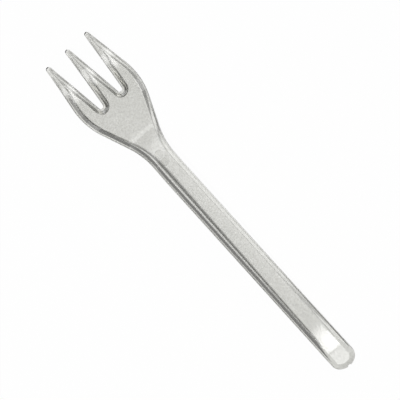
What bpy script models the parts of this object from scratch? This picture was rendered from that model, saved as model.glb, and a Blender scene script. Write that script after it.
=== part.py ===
"""A clear disposable fork with three tines, moulded as one piece.

Lengths are in metres, +Z is up and the food side faces up. The tines point along +X, and the
origin is on the table under the middle of the fork's length.

The plan and the side view are both belts: arcs joined by the straight lines that touch them.
A station is a distance from the tine tips towards the end of the handle.
"""

import math

import bmesh
import bpy
import numpy as np
from mathutils import Matrix, Vector

MM = 0.001

# Plan of the head and the handle
LENGTH = 102.0 * MM
HEAD_WIDTH = 17.7 * MM
SHOULDER_STATION = 14.0 * MM
SHOULDER_RADIUS = 17.6 * MM
FLANK_ANGLE = math.radians(22.4)
NECK_RADIUS = 20.0 * MM
NECK_WIDTH = 6.2 * MM
HANDLE_END_WIDTH = 6.5 * MM
HANDLE_END_ROUND = 2.6 * MM

# Tines and the slots between them
TINE_PITCH = 6.24 * MM
TINE_TIP_RADIUS = 0.65 * MM
SLOT_DEPTH = 15.8 * MM
SLOT_ROOT_RADIUS = 0.68 * MM

# Section: a flat web, a thick skirt all round it and a hollow underneath
SECTION_HEIGHT = 2.0 * MM
WEB_THICKNESS = 1.2 * MM
SKIRT_WIDTH = 1.35 * MM
SKIRT_CREST = 0.1 * MM
RIM_HEIGHT = 1.64 * MM
RIM_WIDTH = 0.55 * MM
RIM_CHAMFER = 0.12 * MM
HOLLOW_WALL_ANGLE = math.radians(45.0)
HOLLOW_FILLET = 0.2 * MM
HOLLOW_END_STATION = 98.8 * MM
HOLLOW_END_RUN = 5.8 * MM
TIP_HEIGHT = 1.3 * MM

# Side view
PALM_STATION = 18.5 * MM
TINE_CURVE_RADIUS = 50.0 * MM
PALM_CURVE_RADIUS = 30.0 * MM
RAMP_ANGLE = math.radians(18.0)
NECK_CURVE_RADIUS = 20.0 * MM
HANDLE_RISE = 4.6 * MM
END_CURVE_RADIUS = 120.0 * MM
END_ANGLE = math.radians(7.5)

# Moulding marks: two ejector pins under the neck, and the gate at the end of the handle
PIN_MARKS = ((33.5 * MM, 1.0 * MM), (35.8 * MM, 0.9 * MM))
PIN_MARK_DEPTH = 0.12 * MM
GATE_WIDTH = 1.0 * MM
GATE_DEPTH = 0.3 * MM

# Fineness of the curves
ARC_STEP = math.radians(15.0)
WIDE_ARC_STEP = math.radians(3.5)
BEND_STEP = math.radians(1.3)
SIDE_STEP = 2.5 * MM
MERGE = 0.001 * MM

STYRENE_COLOUR = (0.90, 0.91, 0.89, 1.0)
STYRENE_ROUGHNESS = 0.12
STYRENE_IOR = 1.59


class Circle:
    """A pulley of the belt. Its radius is positive where the belt turns right round it."""

    def __init__(self, centre, radius):
        self.centre = Vector(centre)
        self.radius = radius

    def point(self, heading):
        """Where the belt leaves the pulley when it runs in this direction."""
        out = Vector((-math.sin(heading), math.cos(heading)))
        return self.centre + self.radius * out

    def arc(self, start, end, step):
        """The points round the pulley from one heading to another."""
        count = max(2, math.ceil(abs(end - start) / step) + 1)
        return [(self.point(turn), turn) for turn in np.linspace(start, end, count)]


def heading_between(first, second):
    """The direction of the straight line that touches both pulleys."""
    gap = second.centre - first.centre
    lean = math.asin((second.radius - first.radius) / gap.length)
    return math.atan2(gap.y, gap.x) + lean


def circle_past(first, heading, radius, height):
    """The pulley at this height whose line from the first one has the given direction."""
    rise = height - first.centre.y
    run = (radius - first.radius + math.cos(heading) * rise) / math.sin(heading)
    return Circle((first.centre.x + run, height), radius)


def inward(heading):
    """The direction into the plastic, on the right of the outline's run."""
    return Vector((math.sin(heading), -math.cos(heading)))


def plan_outline():
    """Half of the outline, from the middle tip to the end of the handle.

    Each entry is a point, its direction into the plastic, how far that way the middle of its
    tine lies, and how deep the gate scar cuts there.
    """
    tip = Circle((TINE_TIP_RADIUS, 0.0), TINE_TIP_RADIUS)
    root = Circle((SLOT_DEPTH - SLOT_ROOT_RADIUS, TINE_PITCH / 2), -SLOT_ROOT_RADIUS)
    outer_tip = Circle((TINE_TIP_RADIUS, TINE_PITCH), TINE_TIP_RADIUS)
    shoulder = Circle((SHOULDER_STATION, HEAD_WIDTH / 2 - SHOULDER_RADIUS), SHOULDER_RADIUS)
    neck = circle_past(shoulder, -FLANK_ANGLE, -NECK_RADIUS, NECK_WIDTH / 2 + NECK_RADIUS)

    into_slot = heading_between(tip, root)
    out_of_slot = heading_between(root, outer_tip)
    outer_side = heading_between(outer_tip, shoulder)
    handle_end = Vector((LENGTH - HANDLE_END_ROUND, HANDLE_END_WIDTH / 2))
    handle_side = heading_between(neck, Circle(handle_end, 0.0))

    middle_taper = into_slot
    outer_taper = (outer_side + math.pi - out_of_slot) / 2
    outline = tip_arc(tip, math.pi / 2, into_slot)
    outline += tine_side(tip.point(into_slot), root.point(into_slot), middle_taper, False)
    outline += open_edge(root.arc(into_slot, out_of_slot, ARC_STEP))
    outline += tine_side(outer_tip.point(out_of_slot), root.point(out_of_slot), outer_taper, True)
    outline += tip_arc(outer_tip, out_of_slot, outer_side)
    outline += tine_side(outer_tip.point(outer_side), shoulder.point(outer_side), outer_taper, False)
    outline += open_edge(shoulder.arc(outer_side, -FLANK_ANGLE, WIDE_ARC_STEP))
    outline += open_edge(neck.arc(-FLANK_ANGLE, handle_side, WIDE_ARC_STEP))
    outline += end_round(handle_end)
    return outline


def open_edge(points):
    """Outline points that have plastic behind them for more than the width of a skirt."""
    return [(point, inward(heading), math.inf, 0.0) for point, heading in points]


def tip_arc(circle, start, end):
    """The round tip of a tine, whose middle is the centre of the arc."""
    return [
        (point, inward(heading), circle.radius, 0.0)
        for point, heading in circle.arc(start, end, ARC_STEP)
    ]


def tine_side(tip_point, far_point, taper, towards_tip):
    """A straight side of a tine, between its tip and where the next arc starts.

    Both sides of a tine have their points at the same distances from the tip, so that the
    skirts meet in one ridge along its middle.
    """
    along = far_point - tip_point
    heading = math.atan2(along.y, along.x)
    across = inward(heading + math.pi if towards_tip else heading)
    marks = [SIDE_STEP * count for count in range(1, int(along.length / SIDE_STEP) + 1)]
    marks += [(reach - TINE_TIP_RADIUS) / math.tan(taper) for reach, _ in section_rings()]
    distances = []
    for mark in sorted(marks):
        if MERGE < mark < along.length and not any(abs(mark - kept) < MERGE for kept in distances):
            distances.append(mark)
    side = [
        (
            tip_point + along.normalized() * distance,
            across,
            TINE_TIP_RADIUS + distance * math.tan(taper),
            0.0,
        )
        for distance in distances
    ]
    return side[::-1] if towards_tip else side


def end_round(corner):
    """The rounded end of the handle, a quarter of an ellipse, with its half of the gate scar."""
    count = math.ceil(math.pi / 2 / ARC_STEP) * 2
    quarter = []
    for turn in np.linspace(0.0, math.pi / 2, count + 1):
        quarter.append(end_point(corner, turn, 0.0))
    quarter = [entry for entry in quarter if entry[0].y > GATE_WIDTH / 2]
    scar_edge = math.acos(GATE_WIDTH / 2 / corner.y)
    scar_floor = math.acos(GATE_WIDTH / 4 / corner.y)
    quarter.append(end_point(corner, scar_edge, 0.0))
    quarter.append(end_point(corner, scar_floor, GATE_DEPTH))
    quarter.append(end_point(corner, math.pi / 2, GATE_DEPTH))
    return quarter


def end_point(corner, turn, cut):
    """One point of the elliptical end, a turn of zero being where the straight side stops."""
    point = Vector((corner.x + HANDLE_END_ROUND * math.sin(turn), corner.y * math.cos(turn)))
    out = Vector((math.sin(turn) / HANDLE_END_ROUND, math.cos(turn) / corner.y))
    return point, -out.normalized(), math.inf, cut


def top_section():
    """Distances from the outline and heights of the upper surface, from the rim inwards."""
    slope = (SECTION_HEIGHT - RIM_HEIGHT) / SKIRT_WIDTH
    return [
        (0.0, RIM_HEIGHT - RIM_CHAMFER),
        (RIM_CHAMFER, RIM_HEIGHT + slope * RIM_CHAMFER),
        (SKIRT_WIDTH - SKIRT_CREST / 2, SECTION_HEIGHT - slope * SKIRT_CREST / 2),
        (SKIRT_WIDTH + SKIRT_CREST / 2, SECTION_HEIGHT),
    ]


def under_section():
    """Distances from the outline and heights of the lower surface, from the rim inwards."""
    hollow = SECTION_HEIGHT - WEB_THICKNESS
    wall_top = RIM_WIDTH + hollow / math.tan(HOLLOW_WALL_ANGLE)
    fillet_run = HOLLOW_FILLET * math.cos(HOLLOW_WALL_ANGLE)
    fillet_rise = HOLLOW_FILLET * math.sin(HOLLOW_WALL_ANGLE)
    return [
        (0.0, RIM_CHAMFER),
        (RIM_CHAMFER, 0.0),
        (RIM_WIDTH, 0.0),
        (wall_top - fillet_run, hollow - fillet_rise),
        (wall_top + HOLLOW_FILLET, hollow),
    ]


def section_rings():
    """The whole section, from the edge of the flat top, over the rim, to the flat underside."""
    return top_section()[::-1] + under_section()


def side_belt():
    """Stations and heights of the rim's foot, from the tips to the end of the handle."""
    front = Circle((PALM_STATION, TINE_CURVE_RADIUS), -TINE_CURVE_RADIUS)
    palm = Circle((PALM_STATION, PALM_CURVE_RADIUS), -PALM_CURVE_RADIUS)
    neck = circle_past(palm, RAMP_ANGLE, NECK_CURVE_RADIUS, HANDLE_RISE - NECK_CURVE_RADIUS)
    end_centre = (
        LENGTH - END_CURVE_RADIUS * math.sin(END_ANGLE),
        -END_CURVE_RADIUS * math.cos(END_ANGLE),
    )
    end = Circle(end_centre, END_CURVE_RADIUS)
    tip_slope = -math.asin(PALM_STATION / TINE_CURVE_RADIUS)
    handle_slope = heading_between(neck, end)
    belt = front.arc(tip_slope, 0.0, BEND_STEP)
    belt += palm.arc(0.0, RAMP_ANGLE, BEND_STEP)[1:]
    belt += neck.arc(RAMP_ANGLE, handle_slope, BEND_STEP)
    belt += end.arc(handle_slope, -END_ANGLE, BEND_STEP)
    return [(point.x, point.y) for point, _ in belt]


def hollow_end(reach, height):
    """The last station of a ring of the underside, as the hollow runs out to the foot in a ramp."""
    if reach < RIM_WIDTH:
        return math.inf
    ramp = HOLLOW_END_RUN * height / (SECTION_HEIGHT - WEB_THICKNESS)
    return HOLLOW_END_STATION - (reach - RIM_WIDTH) - ramp


def place(outline_entry, reach, heights, last_station):
    """A point of one ring, in the fork's own axes, before the fork is bent."""
    point, across, middle, cut = outline_entry
    distance = min(max(reach, cut), middle)
    distances, levels = zip(*heights)
    height = float(np.interp(distance, distances, levels))
    spot = point + across * distance
    return Vector((LENGTH / 2 - min(spot.x, last_station), spot.y, height))


def lay_rings(mesh):
    """Extrudes the outline's rings one after another round the section."""
    half = plan_outline()
    rings = [(reach, top_section(), math.inf) for reach, _ in top_section()[::-1]]
    for reach, height in under_section():
        rings.append((reach, under_section(), hollow_end(reach, height)))
    edges = []
    for reach, heights, last_station in rings:
        spots = [place(entry, reach, heights, last_station) for entry in half]
        mirrored = [Vector((spot.x, -spot.y, spot.z)) for spot in spots[-2:0:-1]]
        loop = spots + mirrored
        if edges:
            made = bmesh.ops.extrude_edge_only(mesh, edges=edges)["geom"]
            verts = [item for item in made if isinstance(item, bmesh.types.BMVert)]
            edges = [item for item in made if isinstance(item, bmesh.types.BMEdge)]
        else:
            verts = [mesh.verts.new(spot) for spot in loop]
            edges = [mesh.edges.new((verts[i - 1], verts[i])) for i in range(len(verts))]
        for vert, spot in zip(verts, loop):
            vert.co = spot


def bend(mesh):
    """Cuts the flat fork across at each station of the side view, and lifts it to its height.

    The tines are thinned evenly from their roots to their tips.
    """
    stations, heights = zip(*side_belt())
    for station in stations[1:-1]:
        bmesh.ops.bisect_plane(
            mesh,
            geom=mesh.verts[:] + mesh.edges[:] + mesh.faces[:],
            dist=MERGE,
            plane_co=(LENGTH / 2 - station, 0.0, 0.0),
            plane_no=(1.0, 0.0, 0.0),
        )
    bmesh.ops.triangulate(mesh, faces=mesh.faces[:])
    for vert in mesh.verts:
        station = LENGTH / 2 - vert.co.x
        share = np.interp(station, (0.0, SLOT_DEPTH), (TIP_HEIGHT / SECTION_HEIGHT, 1.0))
        vert.co.z = vert.co.z * share + float(np.interp(station, stations, heights))


def clear_styrene():
    """Clear moulded polystyrene."""
    material = bpy.data.materials.new("clear_styrene")
    material.use_nodes = True
    shader = material.node_tree.nodes["Principled BSDF"]
    shader.inputs["Base Color"].default_value = STYRENE_COLOUR
    shader.inputs["Roughness"].default_value = STYRENE_ROUGHNESS
    shader.inputs["Metallic"].default_value = 0.0
    shader.inputs["IOR"].default_value = STYRENE_IOR
    shader.inputs["Transmission Weight"].default_value = 1.0
    return material


def make_fork():
    """The moulded body, before the marks are cut into it."""
    mesh = bmesh.new()
    lay_rings(mesh)
    bmesh.ops.remove_doubles(mesh, verts=mesh.verts[:], dist=MERGE)
    bmesh.ops.dissolve_degenerate(mesh, edges=mesh.edges[:], dist=MERGE)
    open_edges = [edge for edge in mesh.edges if edge.is_boundary]
    bmesh.ops.holes_fill(mesh, edges=open_edges, sides=0)
    bend(mesh)
    bmesh.ops.recalc_face_normals(mesh, faces=mesh.faces[:])
    data = bpy.data.meshes.new("fork")
    mesh.to_mesh(data)
    mesh.free()
    data.shade_smooth()
    data.set_sharp_from_angle(angle=math.radians(30.0))
    fork = bpy.data.objects.new("fork", data)
    fork.data.materials.append(clear_styrene())
    bpy.context.scene.collection.objects.link(fork)
    return fork


def cut_pin_mark(fork, name, station, radius):
    """A shallow round mark, square to the underside of the web at its station."""
    stations, heights = zip(*side_belt())
    level = float(np.interp(station, stations, heights)) + SECTION_HEIGHT - WEB_THICKNESS
    ahead = float(np.interp(station - radius, stations, heights))
    behind = float(np.interp(station + radius, stations, heights))
    slope = math.atan2(ahead - behind, 2 * radius)
    mesh = bmesh.new()
    depth = SECTION_HEIGHT
    bmesh.ops.create_cone(
        mesh, cap_ends=True, segments=24, radius1=radius, radius2=radius, depth=depth
    )
    data = bpy.data.meshes.new(name)
    mesh.to_mesh(data)
    mesh.free()
    cutter = bpy.data.objects.new(name, data)
    lowered = Matrix.Translation((0.0, 0.0, PIN_MARK_DEPTH - depth / 2))
    spot = Matrix.Translation((LENGTH / 2 - station, 0.0, level))
    cutter.matrix_world = spot @ Matrix.Rotation(-slope, 4, "Y") @ lowered
    cutter.hide_render = True
    cutter.display_type = "WIRE"
    bpy.context.scene.collection.objects.link(cutter)
    cut = fork.modifiers.new(name, "BOOLEAN")
    cut.operation = "DIFFERENCE"
    cut.solver = "EXACT"
    cut.object = cutter


def main():
    for item in list(bpy.context.scene.objects):
        bpy.data.objects.remove(item)
    fork = make_fork()
    for count, (station, radius) in enumerate(PIN_MARKS, start=1):
        cut_pin_mark(fork, f"pin_mark_{count}", station, radius)


main()
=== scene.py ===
"""The looks of a clear disposable fork: its moulded body, the table and the soft light."""

import math

import bmesh
import bpy
import numpy as np
from mathutils import Matrix, Vector


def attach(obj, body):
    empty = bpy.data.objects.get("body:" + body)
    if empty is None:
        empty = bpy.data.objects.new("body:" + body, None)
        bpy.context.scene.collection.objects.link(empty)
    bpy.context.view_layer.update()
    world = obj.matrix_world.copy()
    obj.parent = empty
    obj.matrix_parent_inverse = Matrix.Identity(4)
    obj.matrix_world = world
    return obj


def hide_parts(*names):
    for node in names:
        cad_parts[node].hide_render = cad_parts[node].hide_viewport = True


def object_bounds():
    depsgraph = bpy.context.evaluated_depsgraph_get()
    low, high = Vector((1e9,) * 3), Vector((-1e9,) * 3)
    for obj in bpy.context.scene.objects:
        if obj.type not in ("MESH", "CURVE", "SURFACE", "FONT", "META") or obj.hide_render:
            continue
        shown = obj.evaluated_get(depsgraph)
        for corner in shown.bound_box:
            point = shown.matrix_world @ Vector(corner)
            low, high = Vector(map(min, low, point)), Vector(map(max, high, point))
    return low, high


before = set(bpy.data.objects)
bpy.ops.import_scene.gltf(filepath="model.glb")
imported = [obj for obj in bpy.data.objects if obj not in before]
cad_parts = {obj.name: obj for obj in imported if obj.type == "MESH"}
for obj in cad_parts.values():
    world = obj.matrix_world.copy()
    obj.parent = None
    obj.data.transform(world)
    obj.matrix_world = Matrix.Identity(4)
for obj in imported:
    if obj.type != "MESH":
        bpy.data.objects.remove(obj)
CAD_LOW, CAD_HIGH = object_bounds()

MM = 0.001

# The fork's own sizes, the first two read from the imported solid
LENGTH = round((CAD_HIGH.x - CAD_LOW.x) / MM) * MM
HEAD_WIDTH = CAD_HIGH.y - CAD_LOW.y
SHOULDER_STATION = 14.0 * MM
SHOULDER_RADIUS = 17.6 * MM
FLANK_ANGLE = math.radians(22.4)
NECK_RADIUS = 20.0 * MM
NECK_WIDTH = 6.2 * MM
HANDLE_END_WIDTH = 6.5 * MM
HANDLE_END_ROUND = 2.6 * MM
TINE_PITCH = 6.24 * MM
TINE_TIP_RADIUS = 0.65 * MM
SLOT_DEPTH = 15.8 * MM
SLOT_ROOT_RADIUS = 0.68 * MM

SECTION_HEIGHT = 2.0 * MM
WEB_THICKNESS = 1.2 * MM
SKIRT_WIDTH = 1.35 * MM
RIM_HEIGHT = 1.64 * MM
RIM_WIDTH = 0.55 * MM
HOLLOW_RUN = 0.8 * MM
TIP_HEIGHT = 1.3 * MM
CREST_RADIUS = 0.12 * MM
RIM_RADIUS = 0.15 * MM
HOLLOW_RADIUS = 0.5 * MM
HOLLOW_END_STATION = 98.8 * MM
HOLLOW_END_RUN = 5.8 * MM
EASE = 0.03 * MM

PALM_STATION = 18.5 * MM
TINE_CURVE_RADIUS = 50.0 * MM
PALM_CURVE_RADIUS = 30.0 * MM
RAMP_ANGLE = math.radians(18.0)
NECK_CURVE_RADIUS = 20.0 * MM
HANDLE_RISE = 4.6 * MM
END_CURVE_RADIUS = 120.0 * MM
END_ANGLE = math.radians(7.5)

PIN_MARKS = ((33.5 * MM, 1.0 * MM), (35.8 * MM, 0.9 * MM))
PIN_MARK_DEPTH = 0.12 * MM
PIN_SIDES = 48
GATE_WIDTH = 1.0 * MM
GATE_DEPTH = 0.3 * MM

ARC_STEP = math.radians(9.0)
WIDE_ARC_STEP = math.radians(1.5)
SECTION_STEP = math.radians(8.0)
BEND_STEP = math.radians(0.6)
SIDE_STEP = 1.0 * MM
CUT_STEP = 4.0 * MM
SHARP_ANGLE = math.radians(20.0)
MERGE = 0.001 * MM
MARK_GAP = 10 * MERGE

# The photograph's frame: where the middle tine's tip and the end of the handle show in it
PHOTO_SIDE = 400.0
TIP_PIXEL = Vector((67.0, 50.6))
END_PIXEL = Vector((350.2, 366.8))
LENS_MM = 100.0
SENSOR_MM = 36.0
VIEW_HEIGHT = 3.0 * MM
VIEW_LEAN = math.radians(4.5)

# Clear styrene: its grain, its haze, and the speckle between its two tints
STYRENE_IOR = 1.59
GRAIN_SCALE = 2600.0
GRAIN_DETAIL = 2.0
GRAIN_STRENGTH = 0.1
GRAIN_DEPTH = 0.02 * MM
HAZE_SCALE = 260.0
HAZE_DETAIL = 3.0
HAZE_ROUGHNESS = 0.03
SPECKLE_SCALE = 2200.0
SPECKLE_DETAIL = 1.0
SPECKLE_MIDDLE = 0.5
SPECKLE_CONTRAST = 3.0
DULL_TINT = (0.83, 0.83, 0.79, 1.0)
CLEAR_TINT = (1.0, 1.0, 0.965, 1.0)

# A pin mark's frosted disc and the paler ring round it, measured in radii of the mark
FROST_REACH = 1.15
FROST_EDGE = 4.0
FROST_SHARE = 0.9
RING_REACH = 1.3
RING_EDGE = 5.0
RING_SHARE = 0.7

# The light that a level face lets through to the table, and how fast it fades with tilt
LET_THROUGH = (0.98, 0.98, 0.98, 1.0)
LEVEL_ENOUGH = 0.04
TILT_LOSS = 4.0

# The sockets of a node that mixes colours: its share, its two colours and its result
MIX_SHARE = 0
MIX_FIRST = 6
MIX_SECOND = 7
MIX_RESULT = 2

# The table, and a room that is pale on one side
TABLE_REACH = 1.5
TABLE_PAINT = (0.9, 0.9, 0.9, 1.0)
TABLE_GLOW = 0.96
BRIGHT_SIDE = Vector((0.3, -0.95, 0.0))
ROOM_MIDDLE = 0.15
ROOM_SWING = 1.1

# The lamp overhead
KEY_PLACE = (0.0, 0.07, 0.6)
KEY_SIZE = (0.06, 0.06)
KEY_POWER = 2.2

# Grey cards that stand beside the fork or hang over it, and a row of them by the head
CARD_REACH = 0.5
UPRIGHT = math.pi / 2
DARK_CARD = {"place": (-0.055, 0.02, 0.007), "size": (0.17, 0.014), "glow": 0.22, "tilt": UPRIGHT}
FLAG = {"place": (0.019, 0.0, 0.04), "size": (0.018, 0.12), "glow": 0.12}
PALE_CARD_PLACE = (0.0335, 0.02, 0.007)
PALE_CARD_STEP = 0.007
PALE_CARD_SIZE = (0.007, 0.014)
PALE_CARD_GLOWS = (0.28, 0.36, 0.48, 0.62, 0.75)

# Strips of light that only show as reflections
STRIPS = {
    "crest_strip": {"place": (0.0, 0.1, 0.35), "size": (0.4, 0.02), "glow": 6.0, "soft": True},
    "tine_strip": {"place": (0.0275, 0.0, 0.1), "size": (0.011, 0.2), "glow": 6.0, "soft": True},
    "end_glow": {"place": (-0.1433, 0.023, 0.3), "size": (0.028, 0.015), "glow": 11.0, "soft": True},
    "pad_glow": {"place": (-0.19, 0.024, 0.3), "size": (0.07, 0.2), "glow": 4.0},
    "ramp_glow": {
        "place": (0.0965, 0.008, 0.1),
        "size": (0.0125, 0.2),
        "glow": 2.6,
        "soft": True,
        "turn": math.radians(12.0),
    },
}


class Circle:
    """A pulley of a belt. Its radius is positive where the belt turns right round it."""

    def __init__(self, centre, radius):
        self.centre = Vector(centre)
        self.radius = radius

    def point(self, heading):
        """Where the belt leaves the pulley when it runs in this direction."""
        out = Vector((-math.sin(heading), math.cos(heading)))
        return self.centre + self.radius * out

    def arc(self, start, end, step):
        """The points round the pulley from one heading to another."""
        count = max(2, math.ceil(abs(end - start) / step) + 1)
        return [(self.point(turn), turn) for turn in np.linspace(start, end, count)]


def heading_between(first, second):
    """The direction of the straight line that touches both pulleys."""
    gap = second.centre - first.centre
    lean = math.asin((second.radius - first.radius) / gap.length)
    return math.atan2(gap.y, gap.x) + lean


def circle_past(first, heading, radius, height):
    """The pulley at this height whose line from the first one has the given direction."""
    rise = height - first.centre.y
    run = (radius - first.radius + math.cos(heading) * rise) / math.sin(heading)
    return Circle((first.centre.x + run, height), radius)


def inward(heading):
    """The direction into the plastic, on the right of the outline's run."""
    return Vector((math.sin(heading), -math.cos(heading)))


def rounded(corners):
    """The section through its corners, each given as distance, height and fillet radius."""
    points = [Vector(corners[0][:2])]
    for before, corner, after in zip(corners, corners[1:], corners[2:]):
        here = Vector(corner[:2])
        back = (Vector(before[:2]) - here).normalized()
        on = (Vector(after[:2]) - here).normalized()
        turn = math.pi - back.angle(on)
        reach = corner[2] * math.tan(turn / 2)
        points.append(here + back * (reach + EASE))
        middle = here + (back + on).normalized() * math.hypot(corner[2], reach)
        start = here + back * reach - middle
        count = max(2, math.ceil(turn / SECTION_STEP) + 1)
        side = 1.0 if start.cross(here + on * reach - middle) > 0 else -1.0
        for share in np.linspace(0.0, 1.0, count):
            arm = start.copy()
            arm.rotate(Matrix.Rotation(side * turn * share, 2))
            points.append(middle + arm)
        points.append(here + on * (reach + EASE))
    return points + [Vector(corners[-1][:2])]


def section():
    """The upper surface and the lower one, each from the rim's outer edge inwards."""
    hollow = SECTION_HEIGHT - WEB_THICKNESS
    flat = SKIRT_WIDTH + 2 * CREST_RADIUS
    wall_top = RIM_WIDTH + HOLLOW_RUN
    top = rounded(
        [
            (0.0, RIM_HEIGHT / 2, 0.0),
            (0.0, RIM_HEIGHT, RIM_RADIUS),
            (SKIRT_WIDTH, SECTION_HEIGHT, CREST_RADIUS),
            (flat, SECTION_HEIGHT, 0.0),
        ]
    )
    under = rounded(
        [
            (0.0, RIM_HEIGHT / 2, 0.0),
            (0.0, 0.0, RIM_RADIUS),
            (RIM_WIDTH, 0.0, RIM_RADIUS),
            (wall_top, hollow, HOLLOW_RADIUS),
            (wall_top + HOLLOW_RADIUS * math.tan(math.pi / 6), hollow, 0.0),
        ]
    )
    return top, under


TOP, UNDER = section()


def plan_outline():
    """Half of the outline, from the middle tip to the end of the handle.

    Each entry is a point, its direction into the plastic, how far that way the middle of its
    tine lies, and how deep the gate scar cuts there.
    """
    tip = Circle((TINE_TIP_RADIUS, 0.0), TINE_TIP_RADIUS)
    root = Circle((SLOT_DEPTH - SLOT_ROOT_RADIUS, TINE_PITCH / 2), -SLOT_ROOT_RADIUS)
    outer_tip = Circle((TINE_TIP_RADIUS, TINE_PITCH), TINE_TIP_RADIUS)
    shoulder = Circle((SHOULDER_STATION, HEAD_WIDTH / 2 - SHOULDER_RADIUS), SHOULDER_RADIUS)
    neck = circle_past(shoulder, -FLANK_ANGLE, -NECK_RADIUS, NECK_WIDTH / 2 + NECK_RADIUS)

    into_slot = heading_between(tip, root)
    out_of_slot = heading_between(root, outer_tip)
    outer_side = heading_between(outer_tip, shoulder)
    handle_end = Vector((LENGTH - HANDLE_END_ROUND, HANDLE_END_WIDTH / 2))
    handle_side = heading_between(neck, Circle(handle_end, 0.0))

    middle_taper = into_slot
    outer_taper = (outer_side + math.pi - out_of_slot) / 2
    outline = tip_arc(tip, math.pi / 2, into_slot)
    outline += tine_side(tip.point(into_slot), root.point(into_slot), middle_taper, False)
    outline += open_edge(root.arc(into_slot, out_of_slot, ARC_STEP))
    outline += tine_side(outer_tip.point(out_of_slot), root.point(out_of_slot), outer_taper, True)
    outline += tip_arc(outer_tip, out_of_slot, outer_side)
    outline += tine_side(outer_tip.point(outer_side), shoulder.point(outer_side), outer_taper, False)
    outline += open_edge(shoulder.arc(outer_side, -FLANK_ANGLE, WIDE_ARC_STEP))
    outline += open_edge(neck.arc(-FLANK_ANGLE, handle_side, WIDE_ARC_STEP))
    outline += end_round(handle_end)
    return outline


def open_edge(points):
    """Outline points that have plastic behind them for more than the width of a skirt."""
    return [(point, inward(heading), math.inf, 0.0) for point, heading in points]


def tip_arc(circle, start, end):
    """The round tip of a tine, whose middle is the centre of the arc."""
    return [
        (point, inward(heading), circle.radius, 0.0)
        for point, heading in circle.arc(start, end, ARC_STEP)
    ]


def tine_side(tip_point, far_point, taper, towards_tip):
    """A straight side of a tine, between its tip and where the next arc starts.

    Both sides of a tine have their points at the same distances from the tip, so that the
    skirts meet in one ridge along its middle.
    """
    along = far_point - tip_point
    heading = math.atan2(along.y, along.x)
    across = inward(heading + math.pi if towards_tip else heading)
    marks = [SIDE_STEP * count for count in range(1, int(along.length / SIDE_STEP) + 1)]
    marks += [(spot.x - TINE_TIP_RADIUS) / math.tan(taper) for spot in TOP + UNDER]
    distances = []
    for mark in sorted(marks):
        spare = all(abs(mark - kept) > MARK_GAP for kept in distances)
        if MERGE < mark < along.length and spare:
            distances.append(mark)
    side = [
        (
            tip_point + along.normalized() * distance,
            across,
            TINE_TIP_RADIUS + distance * math.tan(taper),
            0.0,
        )
        for distance in distances
    ]
    return side[::-1] if towards_tip else side


def end_round(corner):
    """The rounded end of the handle, a quarter of an ellipse, with its half of the gate scar."""
    count = math.ceil(math.pi / 2 / ARC_STEP) * 2
    quarter = []
    for turn in np.linspace(0.0, math.pi / 2, count + 1):
        quarter.append(end_point(corner, turn, 0.0))
    quarter = [entry for entry in quarter if entry[0].y > GATE_WIDTH / 2]
    scar_edge = math.acos(GATE_WIDTH / 2 / corner.y)
    scar_floor = math.acos(GATE_WIDTH / 4 / corner.y)
    quarter.append(end_point(corner, scar_edge, 0.0))
    quarter.append(end_point(corner, scar_floor, GATE_DEPTH))
    quarter.append(end_point(corner, math.pi / 2, GATE_DEPTH))
    return quarter


def end_point(corner, turn, cut):
    """One point of the elliptical end, a turn of zero being where the straight side stops."""
    point = Vector((corner.x + HANDLE_END_ROUND * math.sin(turn), corner.y * math.cos(turn)))
    out = Vector((math.sin(turn) / HANDLE_END_ROUND, math.cos(turn) / corner.y))
    return point, -out.normalized(), math.inf, cut


def side_belt():
    """Stations and heights of the rim's foot, from the tips to the end of the handle."""
    front = Circle((PALM_STATION, TINE_CURVE_RADIUS), -TINE_CURVE_RADIUS)
    palm = Circle((PALM_STATION, PALM_CURVE_RADIUS), -PALM_CURVE_RADIUS)
    neck = circle_past(palm, RAMP_ANGLE, NECK_CURVE_RADIUS, HANDLE_RISE - NECK_CURVE_RADIUS)
    end_centre = (
        LENGTH - END_CURVE_RADIUS * math.sin(END_ANGLE),
        -END_CURVE_RADIUS * math.cos(END_ANGLE),
    )
    end = Circle(end_centre, END_CURVE_RADIUS)
    tip_slope = -math.asin(PALM_STATION / TINE_CURVE_RADIUS)
    handle_slope = heading_between(neck, end)
    belt = front.arc(tip_slope, 0.0, BEND_STEP)
    belt += palm.arc(0.0, RAMP_ANGLE, BEND_STEP)[1:]
    belt += neck.arc(RAMP_ANGLE, handle_slope, BEND_STEP)
    belt += end.arc(handle_slope, -END_ANGLE, BEND_STEP)
    return [(point.x, point.y) for point, _ in belt]


def place(entry, spot, surface):
    """A point of one ring, in the fork's own axes, before the fork is bent."""
    point, across, middle, cut = entry
    distance = min(max(spot.x, cut), middle)
    height = spot.y
    if distance < spot.x:
        height = float(np.interp(distance, [s.x for s in surface], [s.y for s in surface]))
    plan = point + across * distance
    if surface is UNDER and spot.x >= RIM_WIDTH - RIM_RADIUS:
        ramp = HOLLOW_END_RUN * spot.y / (SECTION_HEIGHT - WEB_THICKNESS)
        plan.x = min(plan.x, HOLLOW_END_STATION - (spot.x - RIM_WIDTH) - ramp)
    return Vector((LENGTH / 2 - plan.x, plan.y, height))


def lay_rings(mesh):
    """Extrudes the outline's rings one after another round the section."""
    half = plan_outline()
    rings = [(spot, TOP) for spot in TOP[::-1]] + [(spot, UNDER) for spot in UNDER[1:]]
    edges = []
    for spot, surface in rings:
        spots = [place(entry, spot, surface) for entry in half]
        loop = spots + [Vector((p.x, -p.y, p.z)) for p in spots[-2:0:-1]]
        if edges:
            made = bmesh.ops.extrude_edge_only(mesh, edges=edges)["geom"]
            verts = [item for item in made if isinstance(item, bmesh.types.BMVert)]
            edges = [item for item in made if isinstance(item, bmesh.types.BMEdge)]
        else:
            verts = [mesh.verts.new(p) for p in loop]
            edges = [mesh.edges.new((verts[i - 1], verts[i])) for i in range(len(verts))]
        for vert, p in zip(verts, loop):
            vert.co = p


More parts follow.
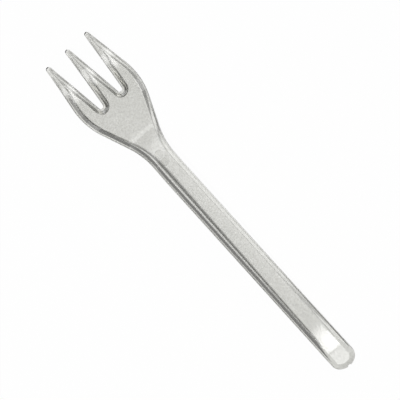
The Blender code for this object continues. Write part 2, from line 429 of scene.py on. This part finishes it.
def bend(mesh):
    """Cuts the flat fork across at each station of the side view, and lifts it to its height."""
    stations, heights = zip(*side_belt())
    even = [CUT_STEP * count for count in range(1, int(LENGTH / CUT_STEP))]
    for station in [*stations[1:-1], *even, HOLLOW_END_STATION - HOLLOW_END_RUN - HOLLOW_RUN]:
        bmesh.ops.bisect_plane(
            mesh,
            geom=mesh.verts[:] + mesh.edges[:] + mesh.faces[:],
            dist=MERGE,
            plane_co=(LENGTH / 2 - station, 0.0, 0.0),
            plane_no=(1.0, 0.0, 0.0),
        )
    bmesh.ops.triangulate(mesh, faces=mesh.faces[:])
    for vert in mesh.verts:
        station = LENGTH / 2 - vert.co.x
        thinning = np.interp(station, (0.0, SLOT_DEPTH), (TIP_HEIGHT / SECTION_HEIGHT, 1.0))
        vert.co.z = vert.co.z * thinning + float(np.interp(station, stations, heights))


def make_fork(material):
    """The moulded body, with its fillets, its rounds and its pin marks."""
    mesh = bmesh.new()
    lay_rings(mesh)
    bmesh.ops.remove_doubles(mesh, verts=mesh.verts[:], dist=MERGE)
    bmesh.ops.dissolve_degenerate(mesh, edges=mesh.edges[:], dist=MERGE)
    open_edges = [edge for edge in mesh.edges if edge.is_boundary]
    bmesh.ops.holes_fill(mesh, edges=open_edges, sides=0)
    bend(mesh)
    bmesh.ops.recalc_face_normals(mesh, faces=mesh.faces[:])
    piece = add_piece("fork_body", mesh)
    pins = [press_pin_mark(piece, *mark) for mark in PIN_MARKS]
    shaped = piece.evaluated_get(bpy.context.evaluated_depsgraph_get())
    data = bpy.data.meshes.new_from_object(shaped)
    piece.modifiers.clear()
    for pin in pins:
        bpy.data.objects.remove(pin)
    piece.data = data
    data.shade_smooth()
    data.set_sharp_from_angle(angle=SHARP_ANGLE)
    data.materials.append(material)
    return piece


def press_pin_mark(piece, station, radius):
    """A shallow round mark in the underside of the web, cut by a pin square to it."""
    stations, heights = zip(*side_belt())
    level = float(np.interp(station, stations, heights)) + SECTION_HEIGHT - WEB_THICKNESS
    ahead, behind = np.interp((station - radius, station + radius), stations, heights)
    slope = math.atan2(ahead - behind, 2 * radius)
    mesh = bmesh.new()
    bmesh.ops.create_cone(
        mesh,
        cap_ends=True,
        segments=PIN_SIDES,
        radius1=radius,
        radius2=radius,
        depth=SECTION_HEIGHT,
    )
    pin = add_piece("pin", mesh)
    pin.matrix_world = (
        Matrix.Translation((LENGTH / 2 - station, 0.0, level))
        @ Matrix.Rotation(-slope, 4, "Y")
        @ Matrix.Translation((0.0, 0.0, PIN_MARK_DEPTH - SECTION_HEIGHT / 2))
    )
    cut = piece.modifiers.new("pin_mark", "BOOLEAN")
    cut.operation = "DIFFERENCE"
    cut.solver = "EXACT"
    cut.object = pin
    return pin


def add_piece(name, mesh):
    """Turns a bmesh into an object of the scene."""
    data = bpy.data.meshes.new(name)
    mesh.to_mesh(data)
    mesh.free()
    piece = bpy.data.objects.new(name, data)
    bpy.context.scene.collection.objects.link(piece)
    return piece


class Value:
    """A socket of a node tree, on which sums are written as on a number."""

    def __init__(self, tree, socket):
        self.tree = tree
        self.socket = socket

    def maths(self, operation, *others):
        slots = dict(enumerate((self, *others)))
        return add_node(self.tree, "ShaderNodeMath", slots, {"operation": operation})

    def clamped(self):
        """The same value, held between zero and one."""
        return self.maths("MAXIMUM", 0.0).maths("MINIMUM", 1.0)

    def __add__(self, other):
        return self.maths("ADD", other)

    def __radd__(self, other):
        return self.maths("ADD", other)

    def __sub__(self, other):
        return self.maths("SUBTRACT", other)

    def __rsub__(self, other):
        return self * -1.0 + other

    def __mul__(self, other):
        return self.maths("MULTIPLY", other)

    def __rmul__(self, other):
        return self.maths("MULTIPLY", other)


def add_node(tree, kind, slots=None, settings=None, output=0):
    """A node of this type with its settings, then the values or links of its slots."""
    node = tree.nodes.new(kind)
    for name, setting in (settings or {}).items():
        setattr(node, name, setting)
    for slot, item in (slots or {}).items():
        if isinstance(item, Value):
            tree.links.new(item.socket, node.inputs[slot])
        else:
            node.inputs[slot].default_value = item
    return Value(tree, node.outputs[output]) if len(node.outputs) else None


def parts_of(tree, vector, axes):
    """The numbers of a vector along the named axes."""
    return [add_node(tree, "ShaderNodeSeparateXYZ", {0: vector}, output=axis) for axis in axes]


def ray_is(tree, kind):
    """One where the ray is of this kind, and zero elsewhere."""
    return add_node(tree, "ShaderNodeLightPath", output=kind)


def noise(tree, spot, scale, detail):
    """Soft random spots that cover a piece."""
    slots = {"Vector": spot, "Scale": scale, "Detail": detail}
    return add_node(tree, "ShaderNodeTexNoise", slots)


def mixed(tree, share, first, second):
    """The first shader, with this share of the second one."""
    return add_node(tree, "ShaderNodeMixShader", {0: share, 1: first, 2: second})


def show(tree, shader):
    """Puts the shader on the surface."""
    add_node(tree, "ShaderNodeOutputMaterial", {"Surface": shader})


def new_material(name):
    material = bpy.data.materials.new(name)
    material.use_nodes = True
    material.node_tree.nodes.clear()
    return material, material.node_tree


def with_pin_frost(tree, spot, clear):
    """Dulls the disc of each pin mark and clears a ring round it."""
    x, y = parts_of(tree, spot, "XY")
    for station, radius in PIN_MARKS:
        along = x - (LENGTH / 2 - station)
        away = (along * along + y * y).maths("SQRT") * (1.0 / radius)
        disc = ((FROST_REACH - away) * FROST_EDGE).clamped()
        ring = (1.0 - (away - RING_REACH).maths("ABSOLUTE") * RING_EDGE).maths("MAXIMUM", 0.0)
        clear = clear - disc * FROST_SHARE + ring * RING_SHARE
    return clear.clamped()


def level_share(tree):
    """One on a level face, falling to zero on a steep one."""
    facing = add_node(tree, "ShaderNodeNewGeometry", output="Normal")
    (upward,) = parts_of(tree, facing, "Z")
    tilt = 1.0 - upward.maths("ABSOLUTE")
    return (1.0 - (tilt - LEVEL_ENOUGH) * TILT_LOSS).clamped()


def clear_styrene():
    """Clear moulded polystyrene with a faint haze and fine grain on its faces."""
    material, tree = new_material("clear_styrene")
    spot = add_node(tree, "ShaderNodeTexCoord", output="Object")
    grain = noise(tree, spot, GRAIN_SCALE, GRAIN_DETAIL)
    haze = noise(tree, spot, HAZE_SCALE, HAZE_DETAIL)
    speckle = noise(tree, spot, SPECKLE_SCALE, SPECKLE_DETAIL)
    clear = (speckle - SPECKLE_MIDDLE) * SPECKLE_CONTRAST + SPECKLE_MIDDLE
    clear = with_pin_frost(tree, spot, clear)
    tint = add_node(
        tree,
        "ShaderNodeMix",
        {MIX_SHARE: clear, MIX_FIRST: DULL_TINT, MIX_SECOND: CLEAR_TINT},
        {"data_type": "RGBA"},
        MIX_RESULT,
    )
    bump = add_node(
        tree,
        "ShaderNodeBump",
        {"Strength": GRAIN_STRENGTH, "Distance": GRAIN_DEPTH, "Height": grain},
    )
    plastic = add_node(
        tree,
        "ShaderNodeBsdfPrincipled",
        {
            "Base Color": tint,
            "Roughness": haze * HAZE_ROUGHNESS,
            "IOR": STYRENE_IOR,
            "Transmission Weight": 1.0,
            "Normal": bump,
        },
    )
    let_through = add_node(tree, "ShaderNodeBsdfTransparent", {"Color": LET_THROUGH})
    in_shadow = ray_is(tree, "Is Shadow Ray") * level_share(tree)
    show(tree, mixed(tree, in_shadow, plastic, let_through))
    return material


def white_table():
    """White paint that looks plain white to the camera."""
    material, tree = new_material("white_table")
    paint = add_node(tree, "ShaderNodeBsdfDiffuse", {"Color": TABLE_PAINT})
    white = add_node(tree, "ShaderNodeEmission")
    seen = ray_is(tree, "Is Camera Ray") * TABLE_GLOW
    show(tree, mixed(tree, seen, paint, white))
    return material


def make_table():
    """The table that the fork lies on."""
    mesh = bmesh.new()
    bmesh.ops.create_grid(mesh, x_segments=1, y_segments=1, size=TABLE_REACH)
    table = add_piece("table", mesh)
    table.data.materials.append(white_table())


def light_room():
    """A room that is pale on one side and dim on the other."""
    world = bpy.data.worlds.new("studio")
    bpy.context.scene.world = world
    world.use_nodes = True
    tree = world.node_tree
    tree.nodes.clear()
    way = add_node(tree, "ShaderNodeTexCoord", output="Generated")
    side = add_node(
        tree,
        "ShaderNodeVectorMath",
        {0: way, 1: BRIGHT_SIDE.normalized()},
        {"operation": "DOT_PRODUCT"},
        "Value",
    )
    room = side.maths("MAXIMUM", 0.0) * ROOM_SWING + ROOM_MIDDLE
    strength = ray_is(tree, "Is Camera Ray").maths("MAXIMUM", room)
    back = add_node(tree, "ShaderNodeBackground", {"Strength": strength})
    add_node(tree, "ShaderNodeOutputWorld", {"Surface": back})


def hang_key_lamp():
    """One large soft lamp overhead, which points at the fork."""
    lamp = bpy.data.lights.new("key", "AREA")
    lamp.shape = "RECTANGLE"
    lamp.size, lamp.size_y = KEY_SIZE
    lamp.energy = KEY_POWER
    key = bpy.data.objects.new("key", lamp)
    key.location = KEY_PLACE
    key.rotation_euler = (Vector() - Vector(KEY_PLACE)).to_track_quat("-Z", "Y").to_euler()
    key.visible_transmission = False
    key.visible_glossy = False
    bpy.context.scene.collection.objects.link(key)


def light_studio():
    """The room, the lamp, and the cards and strips that the clear plastic shows."""
    light_room()
    hang_key_lamp()
    make_card("dark_card", **DARK_CARD)
    start, side, height = PALE_CARD_PLACE
    for count, glow in enumerate(PALE_CARD_GLOWS):
        place = (start + PALE_CARD_STEP * count, side, height)
        make_card(f"pale_card_{count}", place, PALE_CARD_SIZE, glow, UPRIGHT)
    make_card("flag", **FLAG)
    for name, strip in STRIPS.items():
        make_card(name, **strip).visible_transmission = False


def card_light(name, glow, soft):
    """The light of a card, which a soft one loses towards its edges."""
    material, tree = new_material(name)
    slots = {"Strength": glow}
    if soft:
        spot = add_node(tree, "ShaderNodeTexCoord", output="Object")
        across, along = (part * (1.0 / CARD_REACH) for part in parts_of(tree, spot, "XY"))
        fall = (1.0 - across * across).maths("MAXIMUM", 0.0)
        slots["Color"] = fall * (1.0 - along * along).maths("MAXIMUM", 0.0)
    show(tree, add_node(tree, "ShaderNodeEmission", slots))
    material.cycles.emission_sampling = "NONE"
    return material


def make_card(name, place, size, glow, tilt=0.0, turn=0.0, soft=False):
    """A card or a strip of light near the fork, that only shows in the clear plastic."""
    mesh = bmesh.new()
    bmesh.ops.create_grid(mesh, x_segments=1, y_segments=1, size=CARD_REACH)
    card = add_piece(name, mesh)
    card.scale = (*size, 1.0)
    card.rotation_euler = (tilt, 0.0, turn)
    card.location = place
    card.data.materials.append(card_light(name, glow, soft))
    card.visible_camera = False
    card.visible_diffuse = False
    card.visible_shadow = False
    return card


def make_camera():
    """Looks straight down, turned and placed so that the fork lies in the photograph's frame."""
    run = END_PIXEL - TIP_PIXEL
    per_pixel = LENGTH / run.length
    turn = math.atan2(run.y, -run.x)
    width = PHOTO_SIDE * per_pixel
    distance = width * LENS_MM / SENSOR_MM
    off_centre = Vector((PHOTO_SIDE / 2, PHOTO_SIDE / 2)) - (TIP_PIXEL + END_PIXEL) / 2
    along = off_centre.dot(run.normalized())
    across = off_centre.dot(Vector((-run.y, run.x)).normalized())
    camera = bpy.data.cameras.new("camera")
    camera.lens = LENS_MM
    camera.sensor_width = SENSOR_MM
    eye = bpy.data.objects.new("camera", camera)
    aim = Vector((-along * per_pixel, across * per_pixel, VIEW_HEIGHT))
    lean = Matrix.Rotation(VIEW_LEAN, 4, "X")
    eye.matrix_world = (
        Matrix.Translation(aim + lean @ Vector((0.0, 0.0, distance)))
        @ lean
        @ Matrix.Rotation(-turn, 4, "Z")
    )
    bpy.context.scene.collection.objects.link(eye)
    bpy.context.scene.camera = eye


def main():
    fork_body = make_fork(clear_styrene())
    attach(fork_body, "root")
    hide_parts("fork")
    make_table()
    light_studio()
    make_camera()
    bpy.context.scene.view_settings.view_transform = "Standard"


main()
